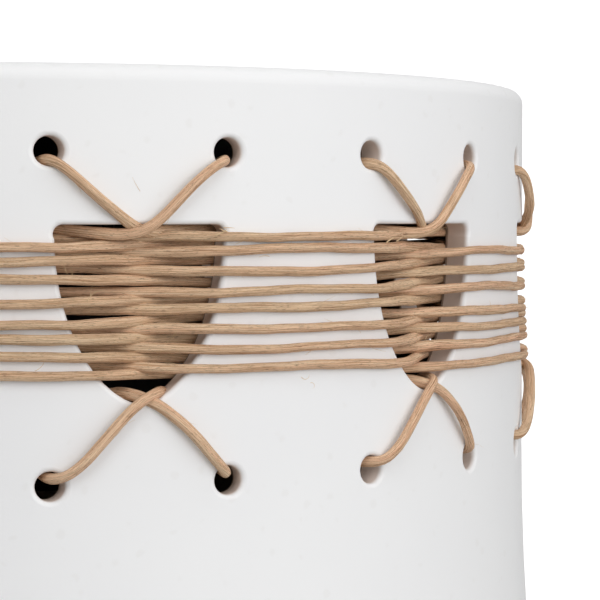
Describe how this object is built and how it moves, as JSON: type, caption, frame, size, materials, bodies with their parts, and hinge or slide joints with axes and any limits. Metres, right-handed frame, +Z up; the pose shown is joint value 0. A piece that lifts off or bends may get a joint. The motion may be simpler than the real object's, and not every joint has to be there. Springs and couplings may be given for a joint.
{
  "type": "tabletop torch",
  "caption": "Flared round ceramic tabletop torch with a cane band laced through shield-shaped openings and a lift-out fuel canister with wick and snuffer.",
  "frame": {"origin": "middle of the circle that the six foot pads stand on", "axes": "+Z up along the body's axis; -Y is the front, with the first opening a little to its right"},
  "size_m": [0.312, 0.312, 0.304],
  "materials": {
    "ceramic": "matt white glaze outside, dark unglazed inside",
    "cane": "natural round cane, waxed",
    "steel": "black heatproof paint",
    "brass": "satin",
    "snuffer": "brushed",
    "knob": "oiled",
    "wick": "woven glass fibre, sooted tip",
    "gasket": "matt",
    "pads": "matt"
  },
  "bodies": {
    "torch_body": {"body_shell": "ceramic", "foot_pad_1": "pads", "foot_pad_2": "pads", "foot_pad_3": "pads", "foot_pad_4": "pads", "foot_pad_5": "pads", "foot_pad_6": "pads", "band_cane_1": "cane", "band_cane_2": "cane", "band_cane_3": "cane", "band_cane_4": "cane", "band_cane_5": "cane", "upper_lace_a": "cane", "upper_lace_b": "cane", "lower_lace_a": "cane", "lower_lace_b": "cane"},
    "tray": {"fire_tray": "steel", "seat_gasket": "gasket"},
    "canister": {"canister_body": "steel", "canister_top": "steel", "canister_neck": "brass"},
    "wick_holder": {"wick_collar": "brass", "neck_gasket": "gasket", "wick_tube": "brass", "wick": "wick"},
    "burner_cap": {"burner_cap": "brass"},
    "snuffer": {"snuffer_cap": "snuffer", "snuffer_knob": "knob", "knob_rivet": "brass"}
  },
  "joints": [
    {"name": "tray_lift", "type": "slide", "parent": "torch_body", "child": "tray", "axis": [0, 0, 1], "range_m": [0, 0.12]},
    {"name": "canister_lift", "type": "slide", "parent": "tray", "child": "canister", "axis": [0, 0, 1], "range_m": [0, 0.11]},
    {"name": "wick_holder_rise", "type": "slide", "parent": "canister", "child": "wick_holder", "axis": [0, 0, 1], "range_m": [0, 0.008]},
    {"name": "burner_cap_turn", "type": "hinge", "parent": "wick_holder", "child": "burner_cap", "pos_m": [0, 0, 0.28], "axis": [0, 0, 1], "range_deg": [0, 1440]},
    {"name": "snuffer_lift", "type": "slide", "parent": "wick_holder", "child": "snuffer", "axis": [0, 0, 1], "range_m": [0, 0.04]}
  ],
  "couplings": [
    {"joint": "wick_holder_rise", "follows": "burner_cap_turn", "m_per_rad": 0.00031831}
  ]
}
